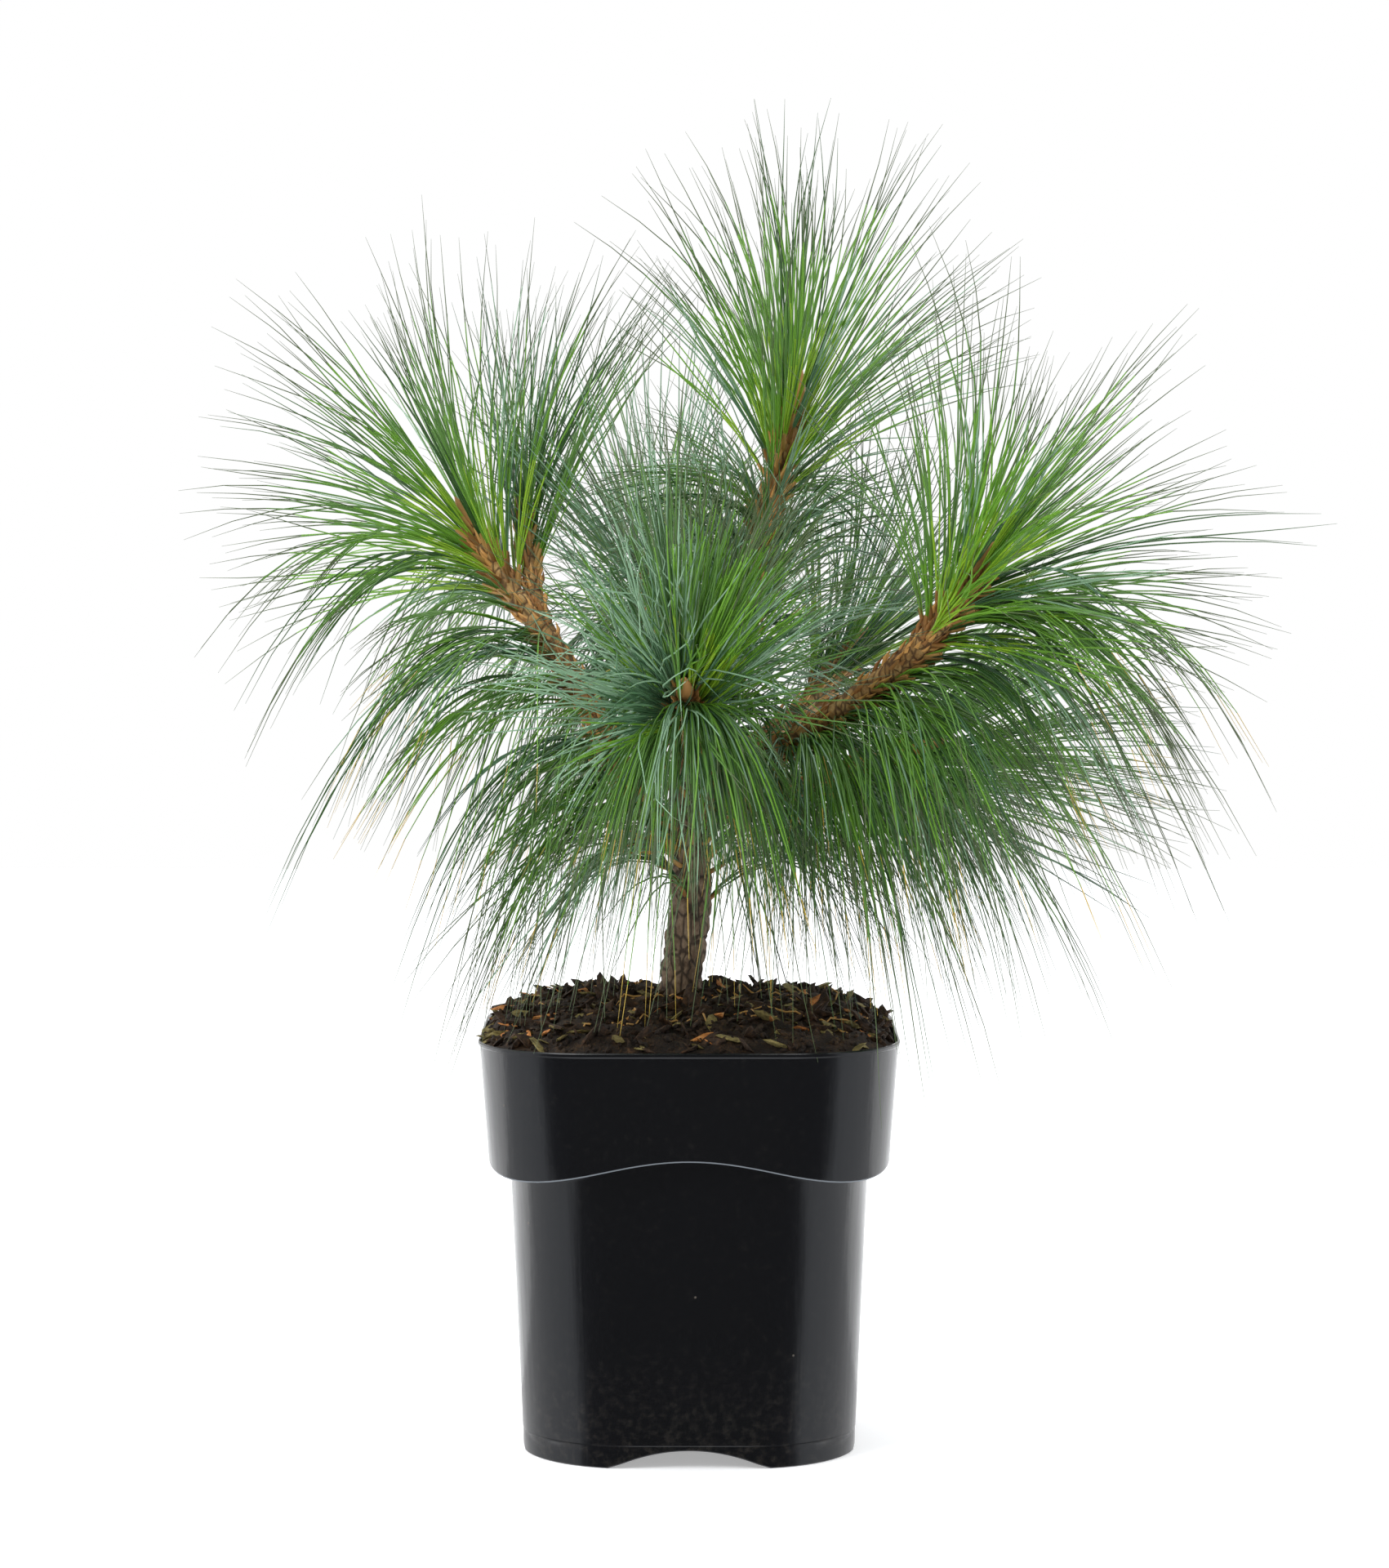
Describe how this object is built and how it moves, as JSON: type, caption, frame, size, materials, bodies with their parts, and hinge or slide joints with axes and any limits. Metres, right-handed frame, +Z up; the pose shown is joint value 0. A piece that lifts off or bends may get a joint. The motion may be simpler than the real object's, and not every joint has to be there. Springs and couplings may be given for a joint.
{
  "type": "potted schwerin pine",
  "caption": "Young long-needled pine in a rounded-square black nursery pot: short trunk, upswept boughs, open needle tufts and hanging needles.",
  "frame": {"origin": "centre of the pot's foot, at the level it stands on", "axes": "+Z up; the pot's sides face along X and Y; -Y is the front"},
  "size_m": [0.5297, 0.4471, 0.6176],
  "materials": {
    "pot_plastic": "smooth black recycled plastic, satin",
    "potting_soil": "damp peat with bark chips",
    "trunk_bark": "grey-brown flaky bark",
    "shoot_bark": "orange-brown young bark with papery scales",
    "needles_green": "satin green needles",
    "needles_blue_green": "satin blue-green needles"
  },
  "bodies": {
    "root": {"back_bough": "shoot_bark", "back_fall": "needles_blue_green", "back_right_bough": "shoot_bark", "back_right_fall": "needles_blue_green", "back_right_tuft": "needles_blue_green", "back_tuft": "needles_blue_green", "front_bough": "shoot_bark", "front_fall_left": "needles_green", "front_fall_right": "needles_green", "front_tuft": "needles_green", "leader_sleeve": "needles_blue_green", "leader_tuft": "needles_green", "left_back_bough": "shoot_bark", "left_back_tuft": "needles_blue_green", "left_bough": "shoot_bark", "left_fall_back": "needles_blue_green", "left_fall_low": "needles_green", "left_fall_outer": "needles_green", "left_tuft": "needles_green", "low_left_stub": "shoot_bark", "low_right_bough": "shoot_bark", "low_right_fall_back": "needles_blue_green", "low_right_fall_front": "needles_green", "low_right_tuft": "needles_green", "pot": "pot_plastic", "right_bough": "shoot_bark", "right_fall_front": "needles_green", "right_fall_outer": "needles_green", "right_tuft": "needles_green", "soil": "potting_soil", "trunk": "trunk_bark", "trunk_skirt": "needles_blue_green"}
  },
  "joints": []
}
